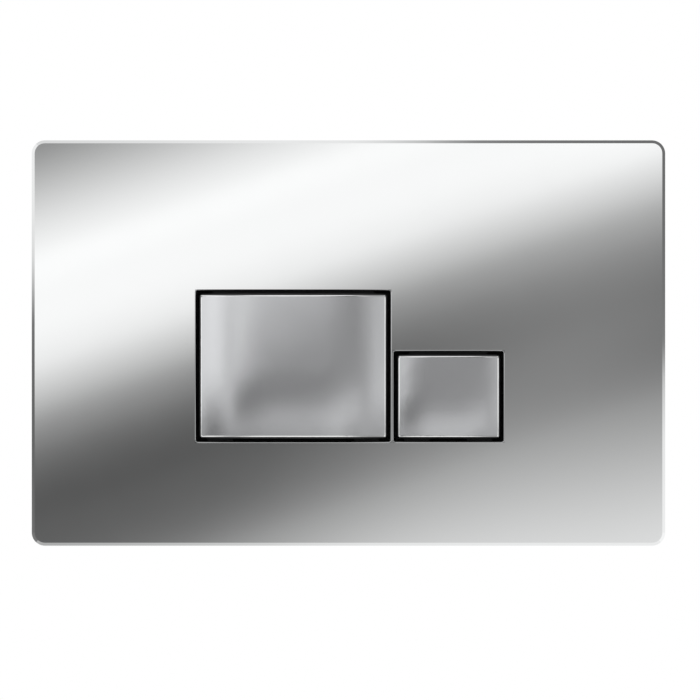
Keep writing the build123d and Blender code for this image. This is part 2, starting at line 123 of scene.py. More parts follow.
def add_node(tree, kind, values=None, **settings):
    """One shader node with its settings.

    Values go to its inputs, as numbers or as links. A node stands for its first output in use.
    """
    node = tree.nodes.new(kind)
    for name, value in settings.items():
        setattr(node, name, value)
    for name, value in (values or {}).items():
        if isinstance(value, bpy.types.Node):
            value = next(socket for socket in value.outputs if socket.enabled)
        if isinstance(value, bpy.types.NodeSocket):
            tree.links.new(value, node.inputs[name])
        else:
            node.inputs[name].default_value = value
    return node


def new_material(name):
    """An empty material and its node tree."""
    material = bpy.data.materials.new(name)
    material.use_nodes = True
    material.node_tree.nodes.clear()
    return material, material.node_tree


# Sizes and colours a user would change

class FlushPlateFinishes(bpy.types.PropertyGroup):
    """Tints and colours of the finishes"""
    chrome: bpy.props.FloatVectorProperty(
        name="Polished chrome", description="Tint of the plated face",
        subtype="COLOR", size=3, min=0, max=1, default=linear("#F0F1F1"))
    # The darker tint of the opening lips is painted shade round the openings.
    lip_shade: bpy.props.FloatVectorProperty(
        name="Opening lips", description="Tint of the thinner plating round the openings",
        subtype="COLOR", size=3, min=0, max=1, default=linear("#B4B5B6"))
    # The darker tint inside the plate is painted shade in its hollow and deep in the openings.
    inside: bpy.props.FloatVectorProperty(
        name="Unpolished plating", description="Tint of the plating inside the plate",
        subtype="COLOR", size=3, min=0, max=1, default=linear("#A3A6A9"))
    satin: bpy.props.FloatVectorProperty(
        name="Satin chrome", description="Tint of the satin buttons",
        subtype="COLOR", size=3, min=0, max=1, default=linear("#D7D8DA"))
    white: bpy.props.FloatVectorProperty(
        name="White moulding", description="Colour of the frame and the bridge",
        subtype="COLOR", size=3, min=0, max=1, default=linear("#E4E3DD"))
    # On the buttons' sides and backs this black is painted shade in the gaps round them.
    black: bpy.props.FloatVectorProperty(
        name="Black moulding", description="Colour of the tray and the buttons' bare sides",
        subtype="COLOR", size=3, min=0, max=1, default=linear("#1B1C1E"))
    grey: bpy.props.FloatVectorProperty(
        name="Grey rods", description="Colour of the push rods",
        subtype="COLOR", size=3, min=0, max=1, default=linear("#8E949A"))
    dark: bpy.props.FloatVectorProperty(
        name="Dark heads", description="Colour of the rod heads, nuts and guides",
        subtype="COLOR", size=3, min=0, max=1, default=linear("#34373B"))
    zinc: bpy.props.FloatVectorProperty(
        name="Zinc plate", description="Tint of the plated steel",
        subtype="COLOR", size=3, min=0, max=1, default=linear("#C3C6CA"))


class FlushPlateSprings(bpy.types.PropertyGroup):
    """Sizes of the return springs"""
    wire: bpy.props.FloatProperty(
        name="Wire", description="Diameter of the wire", default=0.8 * MM, unit="LENGTH")
    active: bpy.props.IntProperty(
        name="Active coils", description="Open coils between the closed ends", default=5, min=2)
    held: bpy.props.FloatProperty(
        name="Held ends", description="Length of each end that stays on its seat when pressed",
        default=1.6 * MM, unit="LENGTH")


class FlushPlateBolts(bpy.types.PropertyGroup):
    """Sizes of the fixing bolts"""
    diameter: bpy.props.FloatProperty(
        name="Thread", description="Diameter over the bolts' thread",
        default=6.0 * MM, unit="LENGTH")
    pitch: bpy.props.FloatProperty(
        name="Pitch", description="Rise of the thread in one turn",
        default=1.0 * MM, unit="LENGTH")
    depth: bpy.props.FloatProperty(
        name="Depth", description="Depth of the thread", default=0.55 * MM, unit="LENGTH")
    neck: bpy.props.FloatProperty(
        name="Neck", description="Diameter of the plain neck", default=6.4 * MM, unit="LENGTH")
    neck_end: bpy.props.FloatProperty(
        name="Neck end", description="How far the neck reaches behind the wall's face",
        default=1.0 * MM, unit="LENGTH")
    head: bpy.props.FloatProperty(
        name="Head", description="Thickness of the head", default=4.0 * MM, unit="LENGTH")
    slot: bpy.props.FloatProperty(
        name="Slot", description="Width of the slot for a screwdriver or a coin",
        default=1.6 * MM, unit="LENGTH")
    slot_depth: bpy.props.FloatProperty(
        name="Slot depth", description="Depth of the slot", default=1.8 * MM, unit="LENGTH")
    tip: bpy.props.FloatProperty(
        name="Tip", description="Length of the plain point behind the thread",
        default=1.6 * MM, unit="LENGTH")


class FlushPlateStudio(bpy.types.PropertyGroup):
    """Places and strengths of the camera, the cards and the floor"""
    distance: bpy.props.FloatProperty(
        name="Camera distance", description="From the camera to the plate's face",
        default=2.5, unit="LENGTH")
    field: bpy.props.FloatProperty(
        name="Field", description="Width of the picture at the plate's face",
        default=276.15 * MM, unit="LENGTH")
    aim_x: bpy.props.FloatProperty(
        name="Aim across", description="Where the camera points, across the plate",
        default=0.6 * MM, unit="LENGTH")
    aim_z: bpy.props.FloatProperty(
        name="Aim up", description="Where the camera points, up the plate",
        default=-2.76 * MM, unit="LENGTH")
    card: bpy.props.FloatProperty(
        name="Card distance", description="From the wall to the card that the plate mirrors",
        default=0.9, unit="LENGTH")
    strip: bpy.props.FloatProperty(
        name="Strip lights", description="Strength of the strip lights that draw the bright rims",
        default=0.78)
    floor: bpy.props.FloatProperty(
        name="Floor height", description="Height of the floor", default=-0.17, unit="LENGTH")


# Finishes

def front_of(node):
    """The box of a button's front, ahead of the depth where its chrome stops and painted shade
    starts.
    """
    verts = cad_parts[node].data.vertices
    places = [vert.co for vert in verts if vert.co.y < PAINTED_SHADE_DEPTH]
    low = [min(place[axis] for place in places) for axis in range(3)]
    high = [max(place[axis] for place in places) for axis in range(3)]
    return Vector(low), Vector(high)


def outside_box(tree, low, high):
    """How far a point lies outside a box, in metres. It is below zero inside."""
    place = add_node(tree, "ShaderNodeTexCoord").outputs["Object"]
    away = add_node(tree, "ShaderNodeVectorMath", {0: place, 1: (low + high) / 2},
                    operation="SUBTRACT")
    away = add_node(tree, "ShaderNodeVectorMath", {0: away}, operation="ABSOLUTE")
    away = add_node(tree, "ShaderNodeVectorMath", {0: away, 1: (high - low) / 2},
                    operation="SUBTRACT")
    axes = add_node(tree, "ShaderNodeSeparateXYZ", {"Vector": away}).outputs
    most = add_node(tree, "ShaderNodeMath", {0: axes["X"], 1: axes["Y"]}, operation="MAXIMUM")
    return add_node(tree, "ShaderNodeMath", {0: most, 1: axes["Z"]}, operation="MAXIMUM")


def polished_chrome():
    """Bright chrome on moulded ABS, buffed to a mirror with a trace of waviness.

    Opening rims are darker as painted shade, and the duller inside is darkened as painted shade.
    """
    finishes = bpy.context.scene.flush_plate_finishes
    material, tree = new_material("polished_chrome_and_painted_shade")
    place = add_node(tree, "ShaderNodeTexCoord").outputs["Object"]
    wipe = add_node(tree, "ShaderNodeTexNoise", {
        "Vector": place, "Scale": 1 / BUFFED_MARK, "Detail": 4.0})
    buffed = add_node(tree, "ShaderNodeMapRange", {"Value": wipe, "To Min": 0.03, "To Max": 0.06})
    dull = add_node(tree, "ShaderNodeMapRange", {"Value": wipe, "To Min": 0.26, "To Max": 0.42})
    openings = []
    for node in BUTTONS:
        low, high = front_of(node)
        openings.append(outside_box(
            tree, Vector((low.x, -PAST_ALL, low.z)), Vector((high.x, PAST_ALL, high.z))))
    nearest = add_node(tree, "ShaderNodeMath", dict(enumerate(openings)), operation="MINIMUM")
    # Within this reach of a button the chrome is tinted darker, as painted shade round the opening.
    lip_shade = add_node(tree, "ShaderNodeMath", {0: nearest, 1: LIP_SHADE_REACH}, operation="LESS_THAN")
    low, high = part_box("front_plate")
    skirt = Vector((SKIRT_WALL, 0, SKIRT_WALL))
    hollow = outside_box(
        tree, low + skirt + Vector((0, FACE_WALL, 0)), high - skirt + Vector((0, PAST_ALL, 0)))
    # Deep in the plate and its openings the plating is rougher, and tinted darker as painted shade.
    inside = add_node(tree, "ShaderNodeMath", {0: hollow, 1: 0.0}, operation="LESS_THAN")
    tint = add_node(tree, "ShaderNodeMix", {
        "Factor": lip_shade, "A": (*finishes.chrome, 1), "B": (*finishes.lip_shade, 1)}, data_type="RGBA")
    tint = add_node(tree, "ShaderNodeMix", {
        "Factor": inside, "A": tint, "B": (*finishes.inside, 1)}, data_type="RGBA")
    rough = add_node(tree, "ShaderNodeMapRange", {
        "Value": inside, "To Min": buffed, "To Max": dull})
    shader = add_node(tree, "ShaderNodeBsdfPrincipled", {
        "Base Color": tint, "Metallic": 1.0, "Roughness": rough})
    add_node(tree, "ShaderNodeOutputMaterial", {"Surface": shader})
    return material


def satin_chrome(node):
    """Chrome over a blasted mould face, which blurs the room, with a bright polished rim.

    The sides and the back are black, which is painted shade in the gap round the button.
    """
    finishes = bpy.context.scene.flush_plate_finishes
    material, tree = new_material("satin_chrome_and_painted_shade_" + node)
    low, high = front_of(node)
    inset = Vector((PAINTED_SHADE_INSET, 0, PAINTED_SHADE_INSET))
    outside = outside_box(tree, low + inset - Vector((0, PAST_ALL, 0)), high - inset)
    # Only this front is chrome. The black beyond it is painted shade on the sides, deep in the gap.
    plated = add_node(tree, "ShaderNodeMath", {0: outside, 1: 0.0}, operation="LESS_THAN")
    face = add_node(tree, "ShaderNodeMath", {0: outside, 1: -POLISHED_RIM}, operation="LESS_THAN")
    # The blasted grain is about 0.1 mm. It is drawn at 0.5 mm so that it shows.
    place = add_node(tree, "ShaderNodeTexCoord").outputs["Object"]
    grain = add_node(tree, "ShaderNodeTexNoise", {
        "Vector": place, "Scale": 1 / BLASTED_GRAIN, "Detail": 2.0})
    blasted = add_node(tree, "ShaderNodeMapRange", {
        "Value": grain, "To Min": 0.145, "To Max": 0.195})
    rough = add_node(tree, "ShaderNodeMapRange", {
        "Value": face, "To Min": 0.08, "To Max": blasted})
    rough = add_node(tree, "ShaderNodeMapRange", {"Value": plated, "To Min": 0.5, "To Max": rough})
    tint = add_node(tree, "ShaderNodeMix", {
        "Factor": face, "A": (*finishes.chrome, 1), "B": (*finishes.satin, 1)}, data_type="RGBA")
    # The black here is painted shade on the button's sides and back.
    tint = add_node(tree, "ShaderNodeMix", {
        "Factor": plated, "A": (*finishes.black, 1), "B": tint}, data_type="RGBA")
    shader = add_node(tree, "ShaderNodeBsdfPrincipled", {
        "Base Color": tint, "Metallic": plated, "Roughness": rough})
    add_node(tree, "ShaderNodeOutputMaterial", {"Surface": shader})
    return material


def moulded_plastic(name, colour, roughness, grain_mm, depth_mm):
    """A plain plastic or rubber. The fine texture of its mould or die breaks up the highlight."""
    material, tree = new_material(name)
    place = add_node(tree, "ShaderNodeTexCoord").outputs["Object"]
    spark = add_node(tree, "ShaderNodeTexNoise", {
        "Vector": place, "Scale": 1 / (grain_mm * MM), "Detail": 3.0})
    flow = add_node(tree, "ShaderNodeTexNoise", {
        "Vector": place, "Scale": 1 / FLOW_MARK, "Detail": 2.0})
    rough = add_node(tree, "ShaderNodeMapRange", {
        "Value": flow, "To Min": roughness - 0.06, "To Max": roughness + 0.06})
    shade = add_node(tree, "ShaderNodeMapRange", {"Value": flow, "To Min": 0.94, "To Max": 1.0})
    tint = add_node(tree, "ShaderNodeVectorMath", {0: tuple(colour), "Scale": shade},
                    operation="SCALE")
    bump = add_node(tree, "ShaderNodeBump", {
        "Height": spark, "Strength": 0.35, "Distance": depth_mm * MM})
    shader = add_node(tree, "ShaderNodeBsdfPrincipled", {
        "Base Color": tint, "Roughness": rough, "Normal": bump, "IOR": 1.53})
    add_node(tree, "ShaderNodeOutputMaterial", {"Surface": shader})
    return material


def plated_steel(name, roughness):
    """Zinc-plated steel, passivated clear. A soft metal sheen with cloudy blue and straw tints."""
    finishes = bpy.context.scene.flush_plate_finishes
    material, tree = new_material(name)
    place = add_node(tree, "ShaderNodeTexCoord").outputs["Object"]
    cloud = add_node(tree, "ShaderNodeTexNoise", {
        "Vector": place, "Scale": 1 / ZINC_CLOUD, "Detail": 3.0})
    tint = add_node(tree, "ShaderNodeMix", {
        "Factor": cloud, "A": (*linear("#B4BAC4"), 1), "B": (*finishes.zinc, 1)},
        data_type="RGBA")
    rough = add_node(tree, "ShaderNodeMapRange", {
        "Value": cloud, "To Min": roughness - 0.08, "To Max": roughness + 0.08})
    shader = add_node(tree, "ShaderNodeBsdfPrincipled", {
        "Base Color": tint, "Metallic": 1.0, "Roughness": rough})
    add_node(tree, "ShaderNodeOutputMaterial", {"Surface": shader})
    return material


def dress(material, *nodes):
    """Gives CAD nodes a finish."""
    for node in nodes:
        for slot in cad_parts[node].material_slots:
            slot.material = material


def add_piece(name, mesh_builder, material, slot, *nodes):
    """A new piece that stands for CAD nodes."""
    mesh = bpy.data.meshes.new(name)
    mesh_builder.to_mesh(mesh)
    mesh_builder.free()
    mesh.shade_smooth()
    mesh.set_sharp_from_angle(angle=SHARP_ANGLE)
    mesh.materials.append(material)
    piece = bpy.data.objects.new(name, mesh)
    bpy.context.scene.collection.objects.link(piece)
    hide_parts(*nodes)
    return piece


# Pieces

class FLUSHPLATE_OT_front_plate(bpy.types.Operator):
    """Polish the front plate"""
    bl_idname = "flush_plate.front_plate"
    bl_label = "Front plate"

    def execute(self, context):
        dress(polished_chrome(), "front_plate")
        return {"FINISHED"}


class FLUSHPLATE_OT_buttons(bpy.types.Operator):
    """Give both buttons a satin face, bright rim and sides black as painted shade, and blacken
    their buffers
    """
    bl_idname = "flush_plate.buttons"
    bl_label = "Buttons"

    def execute(self, context):
        for node in BUTTONS:
            dress(satin_chrome(node), node)
        rubber = moulded_plastic("nitrile_rubber_moulded", linear("#151516"), roughness=0.75,
                                 grain_mm=0.6, depth_mm=0.05)
        dress(rubber, "full_button_buffers", "half_button_buffers")
        return {"FINISHED"}


class FLUSHPLATE_OT_tray(bpy.types.Operator):
    """Finish the button tray with its hinge pin, clips and screws, and the washers"""
    bl_idname = "flush_plate.tray"
    bl_label = "Button tray"

    def execute(self, context):
        finishes = context.scene.flush_plate_finishes
        plastic = moulded_plastic("abs_moulded_black", finishes.black, roughness=0.55,
                                  grain_mm=0.5, depth_mm=0.06)
        dress(plastic, "button_tray")
        steel = plated_steel("steel_zinc_plated", roughness=0.32)
        dress(steel, "tray_screws", "pivot_pin", "pin_clips", "fixing_washers")
        return {"FINISHED"}


class FLUSHPLATE_OT_mounting_frame(bpy.types.Operator):
    """Finish the mounting frame, the rod bridge and the guides, heads and nuts of the rods"""
    bl_idname = "flush_plate.mounting_frame"
    bl_label = "Mounting frame"

    def execute(self, context):
        finishes = context.scene.flush_plate_finishes
        plastic = moulded_plastic("abs_moulded_white", finishes.white, roughness=0.45,
                                  grain_mm=0.5, depth_mm=0.05)
        dress(plastic, "mounting_frame", "rod_bridge")
        nylon = moulded_plastic("nylon_moulded_dark", finishes.dark, roughness=0.42,
                                grain_mm=0.4, depth_mm=0.05)
        dress(nylon, "full_rod_guide", "half_rod_guide", "full_rod_head", "half_rod_head",
              "full_rod_lock_nut", "half_rod_lock_nut")
        return {"FINISHED"}


class FLUSHPLATE_OT_push_rods(bpy.types.Operator):
    """Finish the two push rods"""
    bl_idname = "flush_plate.push_rods"
    bl_label = "Push rods"

    def execute(self, context):
        finishes = context.scene.flush_plate_finishes
        acetal = moulded_plastic("acetal_extruded_grey", finishes.grey, roughness=0.35,
                                 grain_mm=0.8, depth_mm=0.03)
        dress(acetal, "full_push_rod", "half_push_rod")
        return {"FINISHED"}


class FLUSHPLATE_OT_springs(bpy.types.Operator):
    """Wind the three return springs"""
    bl_idname = "flush_plate.springs"
    bl_label = "Return springs"

    def execute(self, context):
        sizes = context.scene.flush_plate_springs
        material = plated_steel("spring_steel_zinc_plated", roughness=0.28)
        springs = {
            "full_return_spring_left": "full_button",
            "full_return_spring_right": "full_button",
            "half_return_spring": "half_button",
        }
        for node, button in springs.items():
            low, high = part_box(node)
            wound = wound_spring(low, high, sizes)
            piece = add_piece(node + "_wound", wound, material, "steel", node)
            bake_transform(piece)
        return {"FINISHED"}


def wound_spring(low, high, sizes):
    """A compression spring with a closed coil at each end, wound forward from the tray's floor."""
    wire = sizes.wire
    centre = (low + high) / 2
    radius = (high.x - low.x - wire) / 2
    length = high.y - low.y - wire
    closed = wire * CLOSED_RISE
    pitch = (length - 2 * closed) / sizes.active
    bm = bmesh.new()
    start = Matrix.Translation((centre.x + radius, high.y - wire / 2, centre.z))
    ring = bmesh.ops.create_circle(bm, segments=WIRE_STEPS, radius=wire / 2, matrix=start)["verts"]
    tip = list(dict.fromkeys(edge for vert in ring for edge in vert.link_edges))
    bmesh.ops.edgeloop_fill(bm, edges=tip)
    for turns, rise in ((1, closed), (sizes.active, pitch), (1, closed)):
        swept = bmesh.ops.spin(
            bm, geom=tip, cent=centre, axis=(0, -1, 0), dvec=(0, -rise / SPRING_STEPS, 0),
            angle=2 * math.pi * turns, steps=SPRING_STEPS * turns, use_merge=False)
        tip = [item for item in swept["geom_last"] if isinstance(item, bmesh.types.BMEdge)]
    bmesh.ops.edgeloop_fill(bm, edges=tip)
    return close_shell(bm)


class FLUSHPLATE_OT_fixing_bolts(bpy.types.Operator):
    """Model the two fixing bolts with slotted heads and cut threads"""
    bl_idname = "flush_plate.fixing_bolts"
    bl_label = "Fixing bolts"

    def execute(self, context):
        sizes = context.scene.flush_plate_bolts
        low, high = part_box("fixing_bolts")
        radius = (high.z - low.z) / 2
        neck = sizes.neck / 2
        root = sizes.diameter / 2 - sizes.depth
        thread_end = high.y - sizes.tip
        # Each shell reaches a little into the next one.
        bolt = join_shells(
            slotted_head(low.y, radius, sizes),
            turned_bar([(neck, low.y + sizes.head / 2), (neck, sizes.neck_end)]),
            cut_thread(sizes.neck_end - sizes.pitch, thread_end, sizes),
            turned_bar([(root, thread_end - sizes.pitch), (root, high.y - sizes.tip / 2),
                        (root * POINT_SHARE, high.y)]),
        )
        place = (low.x + radius, 0, (low.z + high.z) / 2)
        bmesh.ops.translate(bolt, verts=bolt.verts, vec=place)
        repeat(bolt, (high.x - low.x - 2 * radius, 0, 0))
        material = plated_steel("bolt_steel_zinc_plated", roughness=0.34)
        piece = add_piece("fixing_bolts_threaded", bolt, material, "steel", "fixing_bolts")
        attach(piece, "plate_unit")
        return {"FINISHED"}


def close_shell(bm):
    """Merges the seams of a closed shell and turns its faces outwards."""
    bmesh.ops.remove_doubles(bm, verts=bm.verts, dist=MERGE_REACH)
    bmesh.ops.recalc_face_normals(bm, faces=bm.faces)
    return bm


def join_shells(*shells):
    """One mesh of several closed shells."""
    joined = bmesh.new()
    for shell in shells:
        mesh = bpy.data.meshes.new("shell")
        shell.to_mesh(mesh)
        shell.free()
        joined.from_mesh(mesh)
        bpy.data.meshes.remove(mesh)
    return joined


def repeat(bm, step):
    """Adds one more copy of everything in a mesh, moved by a step."""
    copy = bmesh.ops.duplicate(bm, geom=[*bm.verts, *bm.edges, *bm.faces])["geom"]
    verts = [item for item in copy if isinstance(item, bmesh.types.BMVert)]
    bmesh.ops.translate(bm, verts=verts, vec=step)


def turned_bar(outline):
    """A closed round bar along the depth axis, turned from an outline of radii and depths."""
    points = [(0, outline[0][1]), *outline, (0, outline[-1][1])]
    bm = bmesh.new()
    verts = [bm.verts.new((radius, depth, 0)) for radius, depth in points]
    edges = [bm.edges.new(pair) for pair in zip(verts, verts[1:])]
    bmesh.ops.spin(bm, geom=verts + edges, cent=(0, 0, 0), axis=(0, 1, 0), angle=2 * math.pi,
                   steps=BAR_STEPS, use_merge=True)
    return close_shell(bm)


def slotted_head(front, radius, sizes):
    """A round head with a straight slot and a bevelled rim."""
    bm = bmesh.new()
    facing = Matrix.Rotation(math.pi / 2, 4, "X")
    place = Matrix.Translation((0, front + sizes.head, 0)) @ facing
    bmesh.ops.create_circle(bm, cap_ends=True, segments=HEAD_STEPS, radius=radius, matrix=place)
    raised = bmesh.ops.extrude_face_region(bm, geom=list(bm.faces))["geom"]
    verts = [item for item in raised if isinstance(item, bmesh.types.BMVert)]
    bmesh.ops.translate(bm, verts=verts, vec=(0, sizes.slot_depth - sizes.head, 0))
    for side in (-1, 1):
        bmesh.ops.bisect_plane(
            bm, geom=[*bm.verts, *bm.edges, *bm.faces], dist=CUT_REACH,
            plane_co=(0, 0, side * sizes.slot / 2), plane_no=(0, 0, 1))
    # The faces on both sides of the slot are raised from its floor to the front.
    floor = front + sizes.slot_depth + DEPTH_SLACK
    wings = [face for face in bm.faces if all(vert.co.y < floor for vert in face.verts)
             and abs(face.calc_center_median().z) > sizes.slot / 2]
    borders = dict.fromkeys(edge for face in wings for edge in face.edges)
    raised = bmesh.ops.extrude_face_region(bm, geom=[*wings, *borders])["geom"]
    verts = [item for item in raised if isinstance(item, bmesh.types.BMVert)]
    bmesh.ops.translate(bm, verts=verts, vec=(0, -sizes.slot_depth, 0))
    outer = {vert for vert in verts if vert.co.xz.length > RIM_SHARE * radius}
    rim = [edge for edge in bm.edges if all(vert in outer for vert in edge.verts)]
    bmesh.ops.bevel(bm, geom=rim, offset=HEAD_BEVEL, affect="EDGES", segments=2, profile=0.5,
                    material=-1)
    return close_shell(bm)


def cut_thread(start, end, sizes):
    """A threaded rod between two depths.

    One turn is swept along its helix and repeated past both depths, and the ends are cut flat.
    """
    pitch, crest = sizes.pitch, sizes.diameter / 2
    root = crest - sizes.depth
    first, spare = start - 2 * pitch, 3 * pitch
    # The flanks of one turn, as radii and shares of the pitch
    outline = [(root, 0), (root, 0.12), (crest, 0.44), (crest, 0.56), (root, 0.88), (root, 1)]
    bm = bmesh.new()
    verts = [bm.verts.new((radius, first + share * pitch, 0)) for radius, share in outline]
    edges = [bm.edges.new(pair) for pair in zip(verts, verts[1:])]
    bmesh.ops.spin(bm, geom=verts + edges, cent=(0, 0, 0), axis=(0, 1, 0), angle=2 * math.pi,
                   dvec=(0, pitch / THREAD_STEPS, 0), steps=THREAD_STEPS, use_merge=False)
    length = pitch
    while length < end - start + spare:
        repeat(bm, (0, length, 0))
        length *= 2
    bmesh.ops.remove_doubles(bm, verts=bm.verts, dist=MERGE_REACH)
    for depth, away in ((start, -1), (end, 1)):
        cut = bmesh.ops.bisect_plane(
            bm, geom=[*bm.verts, *bm.edges, *bm.faces], dist=CUT_REACH, plane_co=(0, depth, 0),
            plane_no=(0, away, 0), clear_outer=True)["geom_cut"]
        rim = [item for item in cut if isinstance(item, bmesh.types.BMEdge)]
        bmesh.ops.edgeloop_fill(bm, edges=rim)
    return close_shell(bm)


# Studio

def stage_panel(name, centre, across, along, material, seen=False):
    """A flat panel of the studio, by its centre and its two side vectors."""
    across, along = Vector(across), Vector(along)
    sides = Matrix((across, along, across.cross(along).normalized())).transposed().to_4x4()
    place = Matrix.Translation(centre) @ sides
    bm = bmesh.new()
    bmesh.ops.create_grid(bm, x_segments=1, y_segments=1, size=0.5, matrix=place)
    mesh = bpy.data.meshes.new(name)
    bm.to_mesh(mesh)
    bm.free()
    mesh.materials.append(material)
    panel = bpy.data.objects.new(name, mesh)
    bpy.context.scene.collection.objects.link(panel)
    panel.visible_camera = seen
    panel.visible_shadow = seen
    panel.visible_diffuse = seen
    panel.visible_glossy = not seen


def tone_along(tree, direction, stops):
    """A grey gradient across a card, by its direction and its stops of metres and tone."""
    first, last = stops[0][0], stops[-1][0]
    place = add_node(tree, "ShaderNodeTexCoord").outputs["Object"]
    along = add_node(tree, "ShaderNodeVectorMath", {0: place, 1: direction},
                     operation="DOT_PRODUCT")
    share = add_node(tree, "ShaderNodeMapRange", {
        "Value": along, "From Min": first, "From Max": last})
    tones = add_node(tree, "ShaderNodeValToRGB", {"Fac": share})
    ramp = tones.color_ramp
    ramp.interpolation = "CARDINAL"
    while len(ramp.elements) < len(stops):
        ramp.elements.new(0.5)
    for element, (at, tone) in zip(ramp.elements, stops):
        element.position = (at - first) / (last - first)
        element.color = (tone, tone, tone, 1)
    return tones


def tone_beyond(tree, inner, direction, start, width, outer):
    """Fades one tone into another beyond a line across the card."""
    place = add_node(tree, "ShaderNodeTexCoord").outputs["Object"]
    along = add_node(tree, "ShaderNodeVectorMath", {0: place, 1: direction},
                     operation="DOT_PRODUCT")
    share = add_node(tree, "ShaderNodeMapRange", {
        "Value": along, "From Min": start, "From Max": start + width},
        interpolation_type="SMOOTHSTEP")
    return add_node(tree, "ShaderNodeMix", {
        "Factor": share, "A": inner, "B": outer}, data_type="RGBA")


def hang_card(name, material, tone, centre, across, along):
    """Makes a card glow in its tones and hangs it in the studio."""
    tree = material.node_tree
    light = add_node(tree, "ShaderNodeEmission", {"Color": tone, "Strength": CARD_GAIN})
    add_node(tree, "ShaderNodeOutputMaterial", {"Surface": light})
    stage_panel(name, centre, across, along, material)


def set_world():
    """A white room for the camera and for reflections, with plain light on everything else."""
    world = bpy.data.worlds.new("white_room")
    bpy.context.scene.world = world
    world.use_nodes = True
    tree = world.node_tree
    tree.nodes.clear()
    path = add_node(tree, "ShaderNodeLightPath").outputs
    seen = add_node(tree, "ShaderNodeMath", {
        0: path["Is Camera Ray"], 1: path["Is Glossy Ray"]}, operation="MAXIMUM")
    seen = add_node(tree, "ShaderNodeMath", {
        0: seen, 1: path["Is Transmission Ray"]}, operation="MAXIMUM")
    level = add_node(tree, "ShaderNodeMapRange", {
        "Value": seen, "To Min": ROOM_LIGHT, "To Max": 1.0})
    light = add_node(tree, "ShaderNodeBackground", {"Color": (1, 1, 1, 1), "Strength": level})
    add_node(tree, "ShaderNodeOutputWorld", {"Surface": light})


def soft_lamp(name, place, target, size, watts):
    """A square soft box that isn't mirrored in the chrome."""
    light = bpy.data.lights.new(name, "AREA")
    light.size = size
    light.energy = watts
    lamp = bpy.data.objects.new(name, light)
    lamp.location = place
    lamp.rotation_euler = (Vector(target) - Vector(place)).to_track_quat("-Z", "Y").to_euler()
    lamp.visible_glossy = False
    bpy.context.scene.collection.objects.link(lamp)


def set_camera(studio, face):
    """A long lens square to the plate's face."""
    data = bpy.data.cameras.new("front_camera")
    data.sensor_width = 36
    data.lens = data.sensor_width * studio.distance / studio.field
    data.clip_end = 20
    camera = bpy.data.objects.new("front_camera", data)
    camera.location = (studio.aim_x, face - studio.distance, studio.aim_z)
    camera.rotation_euler = (math.pi / 2, 0, 0)
    bpy.context.scene.collection.objects.link(camera)
    bpy.context.scene.camera = camera


def front_card(studio, face):
    """The card that the plate mirrors.

    Only the buttons' sloping sides mirror what lies outside its middle.
    """
    # The camera's distance spreads the mirrored rays, so the card is larger than the plate.
    # Its places are written in millimetres on the plate.
    spread = MM * (1 + (studio.card + face) / studio.distance)
    band_tilt, lobe_tilt = math.radians(19), math.radians(40)
    band = (-math.sin(band_tilt), 0, math.cos(band_tilt))
    lobe = (math.cos(lobe_tilt), 0, -math.sin(lobe_tilt))
    band_tones = [(-115, 0.73), (-60, 0.22), (-25, 0.055), (0, 0.13), (15, 0.355), (30, 0.715),
                  (42, 0.87), (58, 0.90), (76, 0.85), (116, 0.20)]
    lobe_tones = [(-142, 0.06), (0, 0.055), (69, 0.15), (140, 0.0)]
    # Beyond each border of the middle there is a near and a far gradient along the border.
    to_left, to_right, to_base, to_top = (-1, 0, 0), (1, 0, 0), (0, 0, -1), (0, 0, 1)
    near_fade, far_start, far_fade = 45, 50, 80
    borders = (
        (to_base, to_right, 84,
         [(-110, 0.50), (-30, 0.48), (40, 0.70), (110, 0.42)],
         [(-110, 0.04), (-30, 0.06), (40, 0.10), (110, 0.10)]),
        (to_top, to_right, 92,
         [(-110, 0.62), (-10, 0.55), (50, 0.12), (110, 0.08)],
         [(-110, 0.66), (-10, 0.60), (50, 0.10), (110, 0.08)]),
        (to_left, to_top, 128,
         [(-200, 0.30), (-110, 0.54), (-50, 0.66), (0, 0.60), (50, 0.88), (120, 0.95)],
         [(-200, 0.12), (-110, 0.26), (-50, 0.66), (0, 1.05), (50, 1.18), (120, 1.15)]),
        (to_right, to_top, 128,
         [(-200, 0.42), (-110, 0.47), (-50, 0.45), (0, 0.30), (50, 0.52), (120, 0.66)],
         [(-200, 0.33), (-110, 0.48), (-50, 0.67), (0, 0.58), (50, 0.49), (120, 0.40)]),
    )
    material, tree = new_material("card_front")

    def gradient(direction, tones):
        return tone_along(tree, direction, [(at * spread, tone) for at, tone in tones])

    tone = add_node(tree, "ShaderNodeVectorMath", {
        0: gradient(band, band_tones), 1: gradient(lobe, lobe_tones)}, operation="ADD")
    for outward, along, start, near, far in borders:
        tone = tone_beyond(tree, tone, outward, start * spread, near_fade * spread,
                           gradient(along, near))
        tone = tone_beyond(tree, tone, outward, (start + far_start) * spread, far_fade * spread,
                           gradient(along, far))
    hang_card("card_front", material, tone, (0, -studio.card, 0), (2 * CARD_EDGE, 0, 0),
              (0, 0, 2 * CARD_EDGE))


